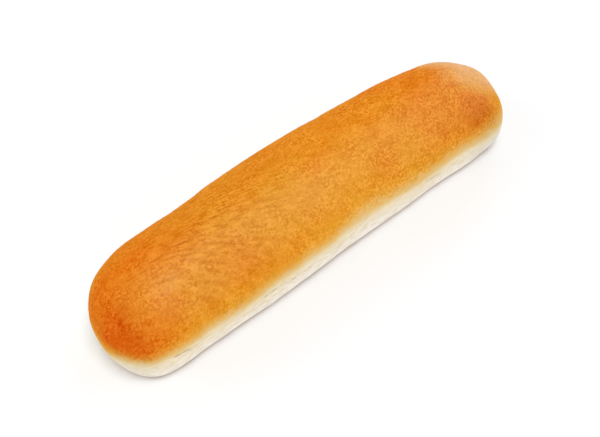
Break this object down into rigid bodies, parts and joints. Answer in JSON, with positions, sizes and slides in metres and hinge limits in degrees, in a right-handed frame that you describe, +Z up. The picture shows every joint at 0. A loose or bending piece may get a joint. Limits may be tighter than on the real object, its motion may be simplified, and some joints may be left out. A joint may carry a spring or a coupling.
{
  "type": "hot dog bun",
  "caption": "Soft oblong bread roll for a hot dog, baked golden brown on its domed top with pale lower sides and a flat underside, whole and uncut.",
  "frame": {"origin": "under the middle of the bun, on the plane of its flat underside", "axes": "+X runs along the bun from its fuller end to its slimmer end, +Y to the side with the belly, +Z up through the domed crust"},
  "size_m": [0.1704, 0.0452, 0.0332],
  "materials": {
    "crust": "satin"
  },
  "bodies": {
    "root": {"bun": "crust"}
  },
  "joints": []
}
